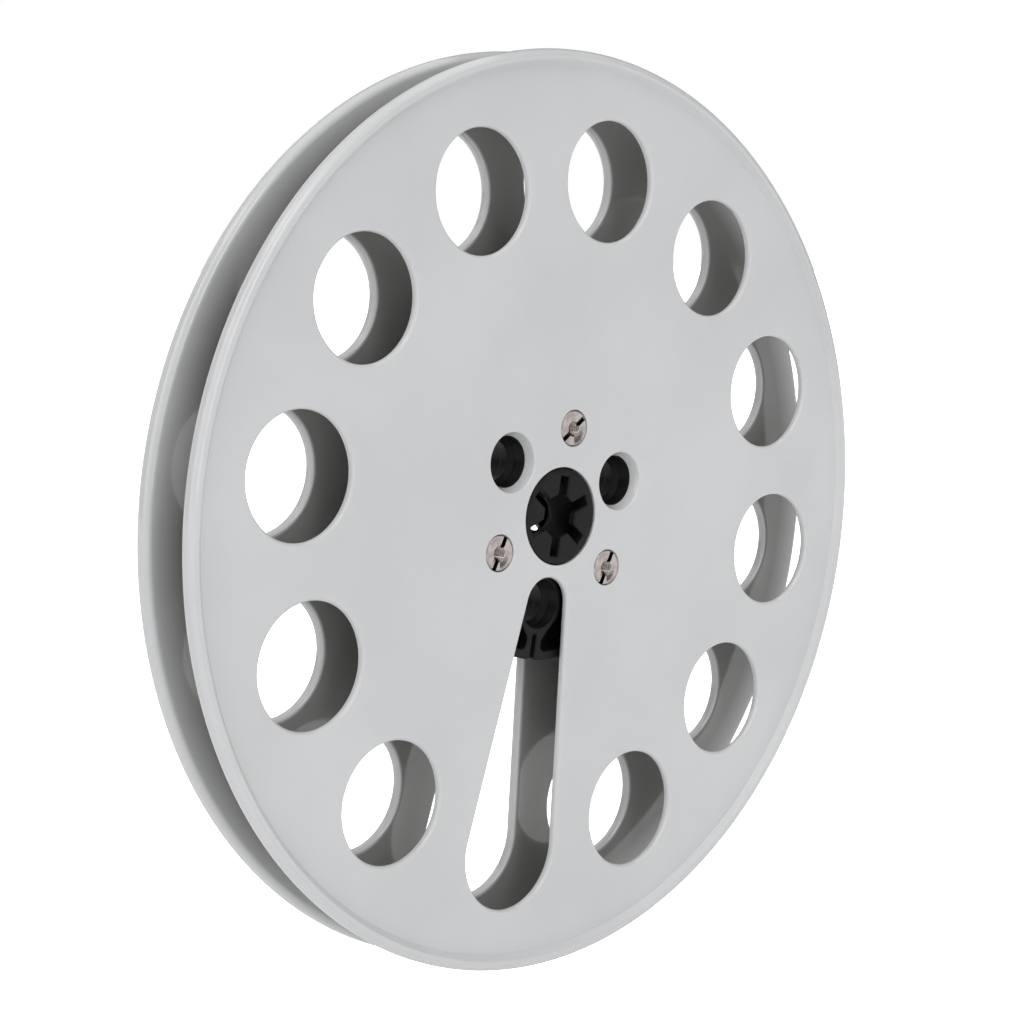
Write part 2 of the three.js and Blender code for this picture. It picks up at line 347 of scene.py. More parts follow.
def pocket_outline(turn):
    """The outline function of the pocket at an angle, found by walking from its middle to the walls."""
    middle = polar((BOSS_RADIUS + HUB_RADIUS) / 2, turn)
    rays = np.array([polar(1, ray) for ray in np.linspace(0, 2 * math.pi, POCKET_POINTS, endpoint=False)])
    inside = np.zeros(POCKET_POINTS)
    for _ in range(POCKET_WALKS):
        inside += POCKET_WALK_SHARE * np.maximum(wall_distance(middle + rays * inside[:, None]), 0)
    edge = middle + rays * inside[:, None]
    shifts = np.eye(2) * POCKET_SLOPE_STEP
    rises = [wall_distance(edge + shift) - wall_distance(edge - shift) for shift in shifts]
    slope = np.stack(rises, axis=1)
    slope /= np.linalg.norm(slope, axis=1)[:, None]

    def outline(grow):
        return list(edge - slope * grow)

    return outline


# ---------------------------------------------------------------- profiles through the thickness


def rounded_corner(corner, rounding, start, end, steps):
    """Rows of a quarter round at a corner. start and end are the ways from the corner to its two ends."""
    start_reach = np.array(start) * rounding
    end_reach = np.array(end) * rounding
    rows = []
    for turn in np.linspace(0, math.pi / 2, steps + 1):
        offset = start_reach * (1 - math.sin(turn)) + end_reach * (1 - math.cos(turn))
        rows.append(corner + offset)
    return rows


def edge_from_face(face, rounding, steps, inward):
    """Rows that leave a face by a rounded edge. inward is +1 where the depth falls behind the face."""
    return rounded_corner((0, face), rounding, (1, 0), (0, -inward), steps)


def edge_to_face(face, rounding, steps, inward):
    """Rows that reach a face by a rounded edge."""
    return edge_from_face(face, rounding, steps, inward)[::-1]


def hole_rows(outer_face, inner_face, outer_round, inner_round):
    """Rows of a hole's wall, from the outer face to the inner one."""
    outer_rows = edge_from_face(outer_face, outer_round, ROUND_STEPS, 1)
    inner_rows = edge_to_face(inner_face, inner_round, ROUND_STEPS, -1)
    return outer_rows + inner_rows


# ---------------------------------------------------------------- closed surfaces


class Shell:
    """One closed surface made of loops of points, the strips between them and flat faces.

    Its depths are measured from the reel's middle towards one side.
    """

    def __init__(self, side=BACK):
        self.mesh = bmesh.new()
        self.side = side

    def loop(self, points, depth):
        """A loop of corners at one depth. points are x and z."""
        return [self.mesh.verts.new((x, self.side * depth, z)) for x, z in points]

    def bridge(self, first, second):
        """A strip of faces between two loops."""
        for index, corner in enumerate(first):
            before = index - 1
            self.mesh.faces.new((first[before], corner, second[index], second[before]))

    def join(self, loops):
        """Strips from each loop to the next. Returns the first and the last loop."""
        for first, second in zip(loops, loops[1:]):
            self.bridge(first, second)
        return loops[0], loops[-1]

    def wall(self, outline, rows):
        """A wall that follows an outline through rows of (grow, depth). Returns its two end loops."""
        return self.join([self.loop(outline(grow), depth) for grow, depth in rows])

    def fill(self, *loops):
        """A flat face with the outermost loop as its edge and the others as holes."""
        edges = []
        for loop in loops:
            for index, corner in enumerate(loop):
                pair = (loop[index - 1], corner)
                edges.append(self.mesh.edges.get(pair) or self.mesh.edges.new(pair))
        bmesh.ops.triangle_fill(
            self.mesh, use_beauty=True, use_dissolve=False, edges=edges, normal=(0, self.side, 0)
        )

    def piece(self, name, place=(0, 0, 0)):
        """Ends the surface and returns it as an object."""
        bmesh.ops.recalc_face_normals(self.mesh, faces=self.mesh.faces)
        data = bpy.data.meshes.new(name)
        self.mesh.to_mesh(data)
        self.mesh.free()
        made = bpy.data.objects.new(name, data)
        made.location = place
        bpy.context.scene.collection.objects.link(made)
        return made


def smooth(made):
    """Shades a piece smooth, keeps its crisp edges, and leans its normals towards the flat faces."""
    for face in made.data.polygons:
        face.use_smooth = True
    made.data.set_sharp_from_angle(angle=CRISP_ANGLE)
    weighted = made.modifiers.new("flat_faces", "WEIGHTED_NORMAL")
    weighted.keep_sharp = True
    weighted.weight = FLAT_FACE_WEIGHT


def dress(made, material, slot_name, *cad_nodes):
    """Gives a piece its finish, shades it smooth, hangs it under the root body and hides the CAD solids it
    stands for.
    """
    made.data.materials.append(material)
    smooth(made)
    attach(made, "root")
    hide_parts(*cad_nodes)


def cut_slot(made, turn, face):
    """Cuts a straight driver slot into the face of a head."""
    cutter = bmesh.new()
    bmesh.ops.create_cube(cutter, size=1)
    size = Matrix.Diagonal((SLOT_CUTTER_LENGTH, 2 * SLOT_DEPTH, SLOT_WIDTH, 1))
    bmesh.ops.transform(cutter, matrix=size, verts=cutter.verts)
    spin = Matrix.Rotation(-turn, 4, "Y")
    bmesh.ops.transform(cutter, matrix=Matrix.Translation((0, face, 0)) @ spin, verts=cutter.verts)
    data = bpy.data.meshes.new("slot_cutter")
    cutter.to_mesh(data)
    cutter.free()
    tool = bpy.data.objects.new("slot_cutter", data)
    tool.location = made.location
    bpy.context.scene.collection.objects.link(tool)
    boolean = made.modifiers.new("slot", "BOOLEAN")
    boolean.operation = "DIFFERENCE"
    boolean.solver = "EXACT"
    boolean.object = tool
    bpy.context.view_layer.update()
    shaped = made.evaluated_get(bpy.context.evaluated_depsgraph_get())
    result = bpy.data.meshes.new_from_object(shaped)
    made.modifiers.clear()
    made.data = result
    bpy.data.objects.remove(tool)


# ---------------------------------------------------------------- flanges


def rim_rows():
    """Rows round the rim, as (radius, depth): the bead's foot, slope and flat, the side, the inner face."""
    foot = REEL_RADIUS - BEAD_WIDTH
    top = foot + BEAD_RAMP
    rows = rounded_corner((foot, PLATE_FACE), BEAD_FOOT_ROUND, (-1, 0), (0, 1), ROUND_STEPS)
    rows += rounded_corner((top, BEAD_FACE), BEAD_TOP_ROUND, (0, -1), (1, 0), EDGE_STEPS)
    rows += rounded_corner((REEL_RADIUS, BEAD_FACE), BEAD_OUTER_ROUND, (-1, 0), (0, -1), ROUND_STEPS)
    rows += rounded_corner((REEL_RADIUS, INNER_FACE), RIM_INNER_ROUND, (0, 1), (-1, 0), ROUND_STEPS)
    return rows


def funnel_rows():
    """Rows of a finger hole, which narrows from a rounded mouth to the inner face."""
    thickness = PLATE_FACE - INNER_FACE
    steepest = math.atan2(thickness, FINGER_HOLE_FLARE)
    foot_depth = FINGER_HOLE_ROUND * (1 - math.cos(steepest))
    foot_grow = FINGER_HOLE_FLARE * (1 - foot_depth / thickness)
    mouth_grow = foot_grow + FINGER_HOLE_ROUND * math.sin(steepest)
    rows = []
    for turn in np.linspace(0, steepest, ROUND_STEPS + 1):
        rows.append((
            mouth_grow - FINGER_HOLE_ROUND * math.sin(turn),
            PLATE_FACE - FINGER_HOLE_ROUND * (1 - math.cos(turn)),
        ))
    rows.append((0, INNER_FACE))
    return rows


def flange_openings():
    """The outline functions of the windows and the teardrop slot."""
    outlines = []
    for step in range(WINDOW_COUNT):
        if step != TEARDROP_STEP:
            centre = polar(WINDOW_CIRCLE, PATTERN_TURN + step * WINDOW_STEP)
            outlines.append(circle_outline(centre, WINDOW_RADIUS, WINDOW_POINTS))
    neck = polar(FINGER_CIRCLE, LEADER_TURN)
    bulb = polar(WINDOW_CIRCLE, LEADER_TURN)
    outlines.append(teardrop_outline(neck, TEARDROP_NECK_RADIUS, bulb, WINDOW_RADIUS))
    return outlines


def make_flange(name, side):
    """A pierced flange with its bead, on the front or the back side."""
    shell = Shell(side)
    outer_loops = []
    inner_loops = []

    def open_through(outline, rows):
        """A wall between the outer and the inner face."""
        first, last = shell.wall(outline, rows)
        outer_loops.append(first)
        inner_loops.append(last)

    open_through(circle_outline(np.zeros(2), 0, RIM_POINTS), rim_rows())
    for outline in flange_openings():
        open_through(outline, hole_rows(PLATE_FACE, INNER_FACE, HOLE_OUTER_ROUND, HOLE_INNER_ROUND))
    # The third finger position lies in the teardrop slot.
    for turn in FINGER_TURNS[:2]:
        finger_hole = circle_outline(polar(FINGER_CIRCLE, turn), FINGER_HOLE_RADIUS, WINDOW_POINTS)
        open_through(finger_hole, funnel_rows())
    centre_hole = circle_outline(np.zeros(2), CENTRE_HOLE_RADIUS, WINDOW_POINTS)
    open_through(centre_hole, hole_rows(PLATE_FACE, INNER_FACE, FINE_EDGE, FINE_EDGE))
    counterbore = HEAD_RADIUS + COUNTERBORE_GAP
    floor = PLATE_FACE - HEAD_HEIGHT - COUNTERBORE_GAP
    for turn in FASTENER_TURNS:
        edge = edge_from_face(PLATE_FACE, FINE_EDGE, EDGE_STEPS, 1)
        rows = [(counterbore + grow, depth) for grow, depth in edge]
        rows += [(counterbore, floor), (FASTENER_BORE, floor), (FASTENER_BORE, INNER_FACE)]
        open_through(circle_outline(polar(FASTENER_CIRCLE, turn), 0, SMALL_POINTS), rows)
    shell.fill(*outer_loops)
    shell.fill(*inner_loops)
    return shell.piece(name)


# ---------------------------------------------------------------- hub


def through_rows(face, rounding):
    """Rows of a straight wall from the front face to the back one, both edges rounded."""
    return edge_from_face(face, rounding, EDGE_STEPS, 1) + edge_to_face(-face, rounding, EDGE_STEPS, -1)


def mirrored(rows):
    """Adds the other half of a wall that is the same on both sides of the reel's middle."""
    return rows + [(grow, -depth) for grow, depth in reversed(rows)]


def finger_bore_rows():
    """Rows of a finger tube's bore, which has a ridge on each side of its middle."""
    rows = edge_from_face(HUB_FACE, FINE_EDGE, EDGE_STEPS, 1)
    rows.append((0, FINGER_RIDGE_REACH))
    rows.append((FINGER_RIDGE_RADIUS - FINGER_TUBE_BORE, FINGER_RIDGE_LIP))
    return mirrored(rows)


def socket_rows():
    """Rows of the spindle socket behind the star plates, as (radius, depth)."""
    return mirrored([
        (SOCKET_RADIUS, BOSS_FACE - STAR_PLATE),
        (SOCKET_RADIUS, SOCKET_CONE_FOOT),
        (SOCKET_WEB_BORE + SOCKET_WEB_EDGE, 2 * SOCKET_WEB_EDGE),
        (SOCKET_WEB_BORE, SOCKET_WEB_EDGE),
    ])


def pocket_rows():
    """Rows of a pocket's wall, from the hub's face to the web."""
    rows = edge_from_face(HUB_FACE, POCKET_EDGE, EDGE_STEPS, 1)
    return rows + rounded_corner((0, HALF_WEB), POCKET_FLOOR_ROUND, (0, 1), (-1, 0), EDGE_STEPS)


def boss_rows():
    """Rows of the spindle boss, from the hub's face to the boss's own, as (radius, depth)."""
    brim = edge_to_face(BOSS_FACE, BOSS_EDGE, EDGE_STEPS, 1)
    return [(BOSS_RADIUS, HUB_FACE)] + [(BOSS_RADIUS - grow, depth) for grow, depth in brim]


def star_rows():
    """Rows of the splined mouth, through its plate."""
    return [(STAR_BEVEL, BOSS_FACE), (0, BOSS_FACE - STAR_BEVEL), (0, BOSS_FACE - STAR_PLATE)]


def on_side(side, rows):
    """Rows on the front or the back side of the reel's middle."""
    return [(grow, side * depth) for grow, depth in rows]


def make_hub(name):
    """The ribbed hub: its winding ring, web, tubes, bosses and spindle socket."""
    shell = Shell()
    axle = np.zeros(2)
    front_loops = []
    back_loops = []

    def open_through(outline, rows):
        """A wall between the back and the front face."""
        first, last = shell.wall(outline, rows)
        back_loops.append(first)
        front_loops.append(last)

    ring_rows = through_rows(HUB_FACE, HUB_EDGE)
    open_through(hub_outline(LEADER_TURN), [(-grow, depth) for grow, depth in ring_rows])
    for turn in FINGER_TURNS:
        bore = circle_outline(polar(FINGER_CIRCLE, turn), FINGER_TUBE_BORE, WINDOW_POINTS)
        open_through(bore, finger_bore_rows())
    for turn in FASTENER_TURNS:
        bore = circle_outline(polar(FASTENER_CIRCLE, turn), FASTENER_BORE, SMALL_POINTS)
        open_through(bore, through_rows(HUB_FACE, FINE_EDGE))
    pockets = [pocket_outline(turn + math.pi / RIB_COUNT) for turn in FINGER_TURNS + FASTENER_TURNS]
    socket_loops = shell.wall(circle_outline(axle, 0, HUB_POINTS), socket_rows())
    back_star = star_outline(FASTENER_TURNS)
    front_star = star_outline(FASTENER_TURNS + FINGER_TURNS)
    for side, loops, socket_loop, star in (
        (BACK, back_loops, socket_loops[0], back_star),
        (FRONT, front_loops, socket_loops[1], front_star),
    ):
        for outline in pockets:
            first, last = shell.wall(outline, on_side(side, pocket_rows()))
            loops.append(first)
            shell.fill(last)
        foot, brim = shell.wall(circle_outline(axle, 0, HUB_POINTS), on_side(side, boss_rows()))
        loops.append(foot)
        mouth, underside = shell.wall(star, on_side(side, star_rows()))
        shell.fill(brim, mouth)
        shell.fill(socket_loop, underside)
        shell.fill(*loops)
    return shell.piece(name)


# ---------------------------------------------------------------- fasteners


def thread_radius(limits, depth, turn):
    """Radius of a helical thread at a depth along the axis and an angle round it."""
    share = (depth / THREAD_PITCH - turn / (2 * math.pi)) % 1
    return limits[0] + (limits[1] - limits[0]) * abs(2 * share - 1)


def thread_wall(shell, limits, start, end):
    """A threaded wall between two depths. Returns its two end loops."""
    count = round(abs(end - start) / THREAD_PITCH * THREAD_STEPS)
    turns = np.linspace(0, 2 * math.pi, SMALL_POINTS, endpoint=False)
    loops = []
    for depth in np.linspace(start, end, count + 1):
        points = [polar(thread_radius(limits, depth, turn), turn) for turn in turns]
        loops.append(shell.loop(points, depth))
    return shell.join(loops)


def make_barrel_nut(name, turn, slot_turn):
    """A sleeve nut: slotted head in the front flange, a tapped barrel through the hub."""
    shell = Shell()
    head_back = -PLATE_FACE + HEAD_HEIGHT
    outside = [
        (NUT_MOUTH_RADIUS, -PLATE_FACE),
        (HEAD_RADIUS - HEAD_CHAMFER, -PLATE_FACE),
        (HEAD_RADIUS, -PLATE_FACE + HEAD_CHAMFER),
        (HEAD_RADIUS, head_back),
        (NUT_BARREL_RADIUS, head_back),
        (NUT_BARREL_RADIUS, NUT_END),
    ]
    face, last = shell.wall(circle_outline(np.zeros(2), 0, SMALL_POINTS), outside)
    mouth_depth = -PLATE_FACE + NUT_MOUTH_RADIUS - NUT_THREAD[1]
    thread_mouth, thread_end = thread_wall(shell, NUT_THREAD, mouth_depth, NUT_END)
    shell.bridge(face, thread_mouth)
    shell.bridge(last, thread_end)
    centre = polar(FASTENER_CIRCLE, turn)
    nut = shell.piece(name, (centre[0], 0, centre[1]))
    cut_slot(nut, slot_turn, -PLATE_FACE)
    return nut


def make_clamp_screw(name, turn, slot_turn):
    """The slotted screw that enters a sleeve nut from the back flange."""
    shell = Shell()
    head_front = PLATE_FACE - HEAD_HEIGHT
    head = [
        (HEAD_RADIUS - HEAD_CHAMFER, PLATE_FACE),
        (HEAD_RADIUS, PLATE_FACE - HEAD_CHAMFER),
        (HEAD_RADIUS, head_front),
    ]
    face, back = shell.wall(circle_outline(np.zeros(2), 0, SMALL_POINTS), head)
    shell.fill(face)
    thread_root, tip = thread_wall(shell, SCREW_THREAD, head_front, SCREW_END)
    shell.bridge(back, thread_root)
    shell.fill(tip)
    centre = polar(FASTENER_CIRCLE, turn)
    screw = shell.piece(name, (centre[0], 0, centre[1]))
    cut_slot(screw, slot_turn, PLATE_FACE)
    return screw


# ---------------------------------------------------------------- materials

# Painted shade on the flange's inner faces, a darker colour standing in for the shade between the flanges,
# which fades towards the rim, and the grain of its outside.
SHADE_AND_GRAIN_BLEND = 0.25 * MM
PAINTED_SHADE_FADE = 7.5 * MM
PAINTED_SHADE_AT_RIM = 0.22
GRAIN_DEPTH = 0.1 * MM

# Colours, and pairs of them where a cloud goes from one to the other.
FLANGE_OUTSIDE = (0.42, 0.424, 0.43)
# Painted shade: the inner faces take this darker colour to stand in for the shade between the flanges.
FLANGE_INSIDE_PAINTED_SHADE = (0.185, 0.185, 0.179)
FLANGE_CLOUD_SHARE = 0.03
HUB_BLACKS = ((0.006, 0.006, 0.0068), (0.0075, 0.0075, 0.0084))
NICKEL_SHADES = ((0.285, 0.25, 0.24), (0.395, 0.36, 0.345))
# Painted shade: a dark colour put in the slot floors, thread roots and sunk sides, where shade falls.
NICKEL_PAINTED_SHADE = (0.035, 0.029, 0.027)
PAPER_WHITES = ((0.93, 0.93, 0.93), (0.95, 0.95, 0.95))

# Roughness, and pairs of it where a grain goes from one to the other.
FLANGE_POLISH = 0.08
FLANGE_SATIN = (0.44, 0.56)
HUB_SATIN = (0.3, 0.45)
NICKEL_SATIN = (0.12, 0.26)
PAPER_MATT = 0.9

# Noises: the size of a grain and the levels of detail in it.
FLANGE_CLOUD = (30 * MM, 3)
FLANGE_GRAIN = (0.35 * MM, 3)
HUB_CLOUD = (4 * MM, 3)
HUB_GRAIN = (0.18 * MM, 3)
NICKEL_CLOUD = (1.2 * MM, 2)
NICKEL_MARKS = (0.08 * MM, 2)
PAPER_FIBRES = (2 * MM, 4)

# Bumps: their depth and their strength.
FLANGE_BUMP = (0.02 * MM, 0.35)
HUB_BUMP = (0.03 * MM, 0.4)
NICKEL_BUMP = (0.01 * MM, 0.5)

# The stretch of a noise's values that is spread over the whole of a range.
CLOUD_STRETCH = (0.35, 0.65)
GRAIN_STRETCH = (0.3, 0.7)

PLASTIC_IOR = 1.57
HUB_SHEEN = 0.12
WHITE = (1, 1, 1, 1)


def new_material(name):
    """A node material with its shader, and the nodes and links to add to."""
    material = bpy.data.materials.new(name)
    material.use_nodes = True
    nodes = material.node_tree.nodes
    return material, nodes, material.node_tree.links, nodes["Principled BSDF"]


def noise(nodes, links, coordinates, size, detail):
    """A noise texture whose grains are about one size across."""
    texture = nodes.new("ShaderNodeTexNoise")
    texture.inputs["Scale"].default_value = 1 / size
    texture.inputs["Detail"].default_value = detail
    links.new(coordinates, texture.inputs["Vector"])
    return texture.outputs["Fac"]


def ramp(nodes, links, value, low, high):
    """Turns a cloud's value into a colour between two colours."""
    colours = nodes.new("ShaderNodeValToRGB")
    for element, position, colour in zip(colours.color_ramp.elements, CLOUD_STRETCH, (low, high)):
        element.position = position
        element.color = (*colour, 1)
    links.new(value, colours.inputs["Fac"])
    return colours.outputs["Color"]


def spread(nodes, links, value, low, high, start=0, end=1):
    """Maps a value, from start to end, onto the range from low to high."""
    mapped = nodes.new("ShaderNodeMapRange")
    mapped.inputs["From Min"].default_value = start
    mapped.inputs["From Max"].default_value = end
    mapped.inputs["To Min"].default_value = low
    mapped.inputs["To Max"].default_value = high
    links.new(value, mapped.inputs["Value"])
    return mapped.outputs["Result"]


def plug(links, value, socket):
    """Gives a socket its value, which is a constant or another node's output."""
    if isinstance(value, bpy.types.NodeSocket):
        links.new(value, socket)
    else:
        socket.default_value = value


def maths(nodes, links, operation, *values):
    """The result of a math operation on one or two values."""
    node = nodes.new("ShaderNodeMath")
    node.operation = operation
    for value, socket in zip(values, node.inputs):
        plug(links, value, socket)
    return node.outputs["Value"]


def mixed(nodes, links, kind, factor, first, second):
    """A mix that goes from the first to the second as factor goes from 0 to 1."""
    node = nodes.new("ShaderNodeMix")
    node.data_type = kind
    links.new(factor, node.inputs["Factor"])
    plug(links, first, node.inputs["A"])
    plug(links, second, node.inputs["B"])
    return node.outputs["Result"]


def axle_distance(nodes, links, split):
    """Distance from an object's own axis along Y."""
    flat = nodes.new("ShaderNodeCombineXYZ")
    links.new(split.outputs["X"], flat.inputs["X"])
    links.new(split.outputs["Z"], flat.inputs["Z"])
    distance = nodes.new("ShaderNodeVectorMath")
    distance.operation = "LENGTH"
    links.new(flat.outputs["Vector"], distance.inputs[0])
    return distance.outputs["Value"]


def bump(nodes, links, height, depth, strength, shader):
    """Bends a shader's normals by the slope of a height."""
    relief = nodes.new("ShaderNodeBump")
    relief.inputs["Strength"].default_value = strength
    relief.inputs["Distance"].default_value = depth
    links.new(height, relief.inputs["Height"])
    links.new(relief.outputs["Normal"], shader.inputs["Normal"])


def flange_plastic():
    """Grey moulded plastic: a satin grain outside, polished edges, and painted shade on the inner faces.

    The painted shade is a darker colour that stands in for the shade between the flanges; it starts at the
    hub and fades towards the rim, where more light reaches the inner faces.
    """
    material, nodes, links, shader = new_material("flange_plastic")
    place = nodes.new("ShaderNodeTexCoord").outputs["Object"]
    cloud = noise(nodes, links, place, *FLANGE_CLOUD)
    grain = noise(nodes, links, place, *FLANGE_GRAIN)
    split = nodes.new("ShaderNodeSeparateXYZ")
    links.new(place, split.inputs["Vector"])
    depth = maths(nodes, links, "ABSOLUTE", split.outputs["Y"])
    from_axle = axle_distance(nodes, links, split)

    # Painted shade: past the hub the inner faces take the darker colour, fading towards the rim where more
    # light gets in.
    near_inner_face = spread(nodes, links, depth, 1, 0, INNER_FACE, INNER_FACE + SHADE_AND_GRAIN_BLEND)
    past_hub = spread(nodes, links, from_axle, 0, 1, HUB_RADIUS - SHADE_AND_GRAIN_BLEND, HUB_RADIUS)
    fade_start = REEL_RADIUS - PAINTED_SHADE_FADE
    fade_end = REEL_RADIUS - RIM_INNER_ROUND
    off_edge = spread(nodes, links, from_axle, 1, PAINTED_SHADE_AT_RIM, fade_start, fade_end)
    radial_painted_shade = maths(nodes, links, "MULTIPLY", past_hub, off_edge)
    painted_shade = maths(nodes, links, "MULTIPLY", near_inner_face, radial_painted_shade)

    on_face = spread(nodes, links, depth, 0, 1, PLATE_FACE - GRAIN_DEPTH, PLATE_FACE)
    round_edge = REEL_RADIUS - BEAD_OUTER_ROUND
    off_rim = spread(nodes, links, from_axle, 1, 0, round_edge, round_edge + SHADE_AND_GRAIN_BLEND)
    grained = maths(nodes, links, "MULTIPLY", on_face, off_rim)
    satin = spread(nodes, links, grain, *FLANGE_SATIN, *GRAIN_STRETCH)
    roughness = mixed(nodes, links, "FLOAT", grained, FLANGE_POLISH, satin)
    links.new(roughness, shader.inputs["Roughness"])

    shades = []
    for tone in (FLANGE_OUTSIDE, FLANGE_INSIDE_PAINTED_SHADE):
        darker = [(1 - FLANGE_CLOUD_SHARE) * part for part in tone]
        lighter = [(1 + FLANGE_CLOUD_SHARE) * part for part in tone]
        shades.append(ramp(nodes, links, cloud, darker, lighter))
    links.new(mixed(nodes, links, "RGBA", painted_shade, *shades), shader.inputs["Base Color"])
    bump(nodes, links, maths(nodes, links, "MULTIPLY", grain, grained), *FLANGE_BUMP, shader)
    shader.inputs["IOR"].default_value = PLASTIC_IOR
    return material


def hub_plastic():
    """Black moulded plastic, semi-matt, with a fine spark-eroded texture."""
    material, nodes, links, shader = new_material("hub_plastic")
    place = nodes.new("ShaderNodeTexCoord").outputs["Object"]
    cloud = noise(nodes, links, place, *HUB_CLOUD)
    grain = noise(nodes, links, place, *HUB_GRAIN)
    links.new(ramp(nodes, links, cloud, *HUB_BLACKS), shader.inputs["Base Color"])
    links.new(spread(nodes, links, grain, *HUB_SATIN, *GRAIN_STRETCH), shader.inputs["Roughness"])
    bump(nodes, links, grain, *HUB_BUMP, shader)
    shader.inputs["Specular IOR Level"].default_value = HUB_SHEEN
    return material


def nickel_plate():
    """Nickel plate with turning marks round each fastener's axis, and painted shade in its slot floors,
    thread roots and sunk sides.
    """
    material, nodes, links, shader = new_material("nickel_plate")
    place = nodes.new("ShaderNodeTexCoord").outputs["Object"]
    split = nodes.new("ShaderNodeSeparateXYZ")
    links.new(place, split.inputs["Vector"])
    from_axis = axle_distance(nodes, links, split)
    rings = nodes.new("ShaderNodeCombineXYZ")
    links.new(from_axis, rings.inputs["X"])
    marks = noise(nodes, links, rings.outputs["Vector"], *NICKEL_MARKS)
    cloud = noise(nodes, links, place, *NICKEL_CLOUD)
    # Painted shade: deeper than half the slot and out towards the thread roots, the colour goes dark.
    depth = maths(nodes, links, "ABSOLUTE", split.outputs["Y"])
    sunk = spread(nodes, links, depth, 1, 0, PLATE_FACE - SLOT_DEPTH / 2, PLATE_FACE - FINE_EDGE)
    off_crest = spread(nodes, links, from_axis, 0, 1, *NUT_THREAD)
    painted_shade_in_recesses = maths(nodes, links, "MULTIPLY", sunk, off_crest)
    clean = ramp(nodes, links, cloud, *NICKEL_SHADES)
    colour = mixed(nodes, links, "RGBA", painted_shade_in_recesses, clean, (*NICKEL_PAINTED_SHADE, 1))
    links.new(colour, shader.inputs["Base Color"])
    links.new(spread(nodes, links, marks, *NICKEL_SATIN, *GRAIN_STRETCH), shader.inputs["Roughness"])
    shader.inputs["Metallic"].default_value = 1
    bump(nodes, links, marks, *NICKEL_BUMP, shader)
    return material


def floor_paper():
    """White studio paper, which the camera sees as pure white and which lights the reel a little."""
    material, nodes, links, shader = new_material("floor_paper")
    place = nodes.new("ShaderNodeTexCoord").outputs["Object"]
    fibres = noise(nodes, links, place, *PAPER_FIBRES)
    links.new(ramp(nodes, links, fibres, *PAPER_WHITES), shader.inputs["Base Color"])
    shader.inputs["Roughness"].default_value = PAPER_MATT
    shader.inputs["Specular IOR Level"].default_value = 0
    shader.inputs["Emission Color"].default_value = WHITE
    seen = nodes.new("ShaderNodeLightPath").outputs["Is Camera Ray"]
    links.new(spread(nodes, links, seen, FLOOR_GLOW, 1), shader.inputs["Emission Strength"])
    return material


# ---------------------------------------------------------------- assembly

grey = flange_plastic()
black = hub_plastic()
nickel = nickel_plate()

dress(make_flange("front_flange_moulding", FRONT), grey, "flange_plastic", "front_flange")
dress(make_flange("back_flange_moulding", BACK), grey, "flange_plastic", "back_flange")
dress(make_hub("hub_moulding"), black, "hub_plastic", "hub")
for index, turn in enumerate(FASTENER_TURNS):
    nut = make_barrel_nut(f"sleeve_nut_{index + 1}", turn, math.radians(NUT_SLOT_DEGREES[index]))
    dress(nut, nickel, "nickel_plate", f"barrel_nut_{index + 1}")
    screw = make_clamp_screw(f"slotted_screw_{index + 1}", turn, math.radians(SCREW_SLOT_DEGREES[index]))
    dress(screw, nickel, "nickel_plate", f"clamp_screw_{index + 1}")

# ---------------------------------------------------------------- studio

FLOOR_SIZE = 6
FLOOR_CELLS = 8

# The camera's azimuth from the front and its elevation are in degrees.
CAMERA_AZIMUTH = -44.091
CAMERA_ELEVATION = 8.302
CAMERA_DISTANCE = 429.155 * MM
CAMERA_SIDEWAYS = -10.458 * MM
CAMERA_RAISED = 1.007 * MM
CAMERA_LENS = 77.95
CAMERA_SENSOR = 36
CAMERA_NEAREST = 10 * MM
CAMERA_FARTHEST = 100

FLOOR_GLOW = 0.2
ROOM_GLOW = 0.18
SOFT_EDGE = 4

# Each soft light: azimuth from the front, elevation, half width and half height (degrees), strength.
SOFT_LIGHTS = (
    (-80, 20, 4, 45, 3.1),
    (-8, 15, 4, 35, 3.2),
    (-25, 22, 50, 32, 0.7),
    (0, 48, 50, 25, 0.28),
    (0, 90, 30, 30, 1.4),
    (180, 10, 28, 28, 0.9),
)


def make_floor():
    """A wide sheet of studio paper under the reel."""
    bpy.ops.mesh.primitive_grid_add(
        x_subdivisions=FLOOR_CELLS, y_subdivisions=FLOOR_CELLS, size=FLOOR_SIZE
    )
    floor = bpy.context.object
    floor.name = "studio_floor"
    floor.location.z = cad_bounds[0].z
    floor.data.materials.append(floor_paper())


def direction(azimuth, elevation):
    """A unit vector at an azimuth from the front and an elevation, both in degrees."""
    around = math.radians(azimuth)
    above = math.radians(elevation)
    level = math.cos(above)
    return Vector((math.sin(around) * level, -math.cos(around) * level, math.sin(above)))


def lean(nodes, links, heading, axis):
    """How far a heading leans along an axis, as a sine."""
    node = nodes.new("ShaderNodeVectorMath")
    node.operation = "DOT_PRODUCT"
    node.inputs[1].default_value = axis
    links.new(heading, node.inputs[0])
    return node.outputs["Value"]


def sine(degrees):
    """The sine of an angle, which past a right angle stays 1."""
    return math.sin(math.radians(min(degrees, 90)))


def in_band(nodes, links, heading, axis, half_width):
    """One where a heading is within an angle of the plane square to an axis, then softly down to nought."""
    off_plane = maths(nodes, links, "ABSOLUTE", lean(nodes, links, heading, axis))
    mask = nodes.new("ShaderNodeMapRange")
    mask.interpolation_type = "SMOOTHSTEP"
    mask.inputs["From Min"].default_value = sine(half_width + SOFT_EDGE)
    mask.inputs["From Max"].default_value = sine(half_width)
    links.new(off_plane, mask.inputs["Value"])
    return mask.outputs["Result"]


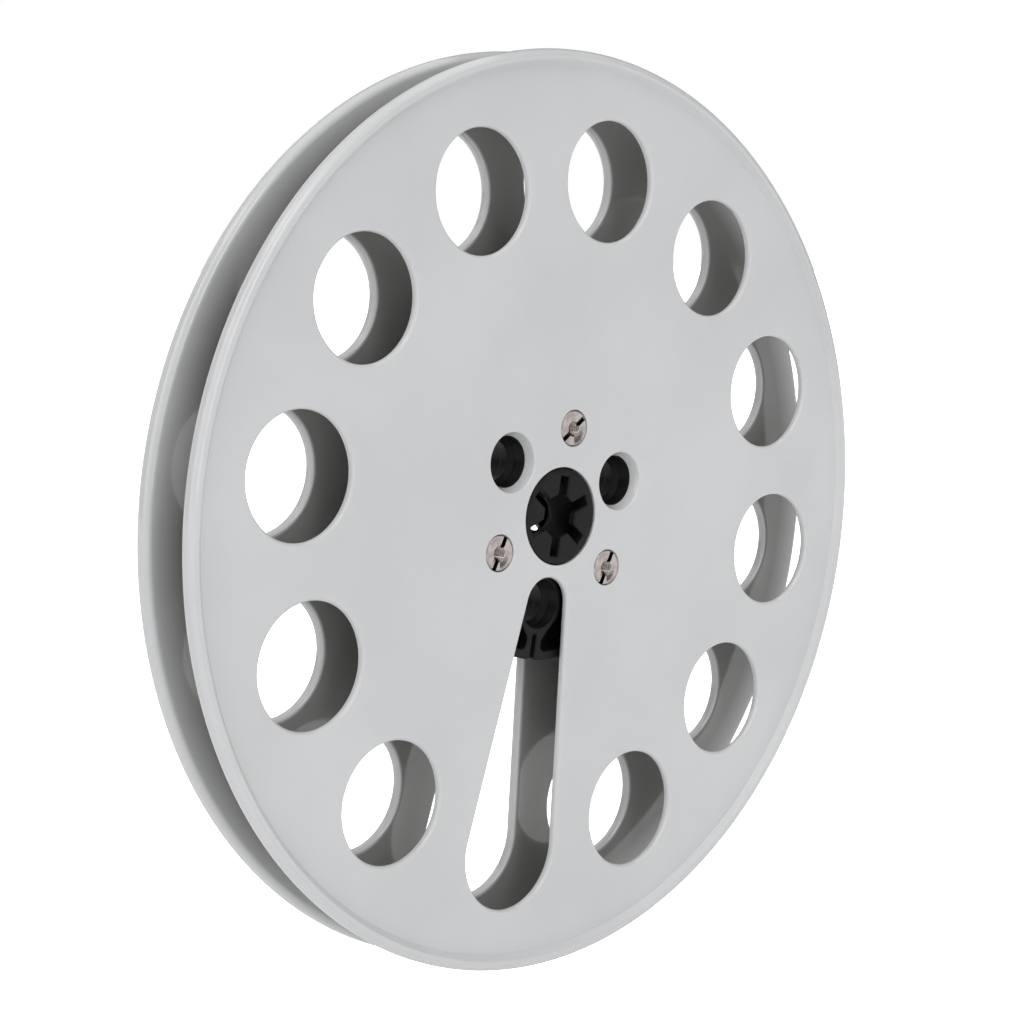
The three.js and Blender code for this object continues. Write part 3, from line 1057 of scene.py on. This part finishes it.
def soft_box(nodes, links, heading, azimuth, elevation, half_width, half_height, strength):
    """The light of one soft box in the world at a heading."""
    middle = direction(azimuth, elevation)
    sideways = direction(azimuth + 90, 0)
    box = strength
    for axis, reach in ((sideways, half_width), (sideways.cross(middle), half_height)):
        box = maths(nodes, links, "MULTIPLY", in_band(nodes, links, heading, axis, reach), box)
    in_front = maths(nodes, links, "GREATER_THAN", lean(nodes, links, heading, middle), 0)
    return maths(nodes, links, "MULTIPLY", box, in_front)


def make_world():
    """Soft boxes at the left front, above and behind in a dim room, with white behind all that is seen."""
    world = bpy.data.worlds.new("studio")
    world.use_nodes = True
    nodes = world.node_tree.nodes
    links = world.node_tree.links
    heading = nodes.new("ShaderNodeTexCoord").outputs["Generated"]
    total = ROOM_GLOW
    for light in SOFT_LIGHTS:
        total = maths(nodes, links, "ADD", soft_box(nodes, links, heading, *light), total)
    lit = nodes["Background"]
    lit.inputs["Color"].default_value = WHITE
    links.new(total, lit.inputs["Strength"])
    seen = nodes.new("ShaderNodeBackground")
    seen.inputs["Color"].default_value = WHITE
    choose = nodes.new("ShaderNodeMixShader")
    links.new(nodes.new("ShaderNodeLightPath").outputs["Is Camera Ray"], choose.inputs["Fac"])
    links.new(lit.outputs["Background"], choose.inputs[1])
    links.new(seen.outputs["Background"], choose.inputs[2])
    links.new(choose.outputs["Shader"], nodes["World Output"].inputs["Surface"])
    bpy.context.scene.world = world
    bpy.context.scene.view_settings.view_transform = "Standard"


def make_camera():
    """A long lens to the left of the reel's face, a little above its middle."""
    back = direction(CAMERA_AZIMUTH, CAMERA_ELEVATION)
    right = direction(CAMERA_AZIMUTH + 90, 0)
    up = back.cross(right)
    lens = bpy.data.cameras.new("camera")
    lens.lens = CAMERA_LENS
    lens.sensor_width = CAMERA_SENSOR
    lens.clip_start = CAMERA_NEAREST
    lens.clip_end = CAMERA_FARTHEST
    camera = bpy.data.objects.new("camera", lens)
    camera.location = Vector((0, -BEAD_FACE, 0)) + back * CAMERA_DISTANCE
    camera.location += right * CAMERA_SIDEWAYS + up * CAMERA_RAISED
    camera.rotation_mode = "QUATERNION"
    camera.rotation_quaternion = (-back).to_track_quat("-Z", "Y")
    bpy.context.scene.collection.objects.link(camera)
    bpy.context.scene.camera = camera


make_floor()
make_world()
make_camera()
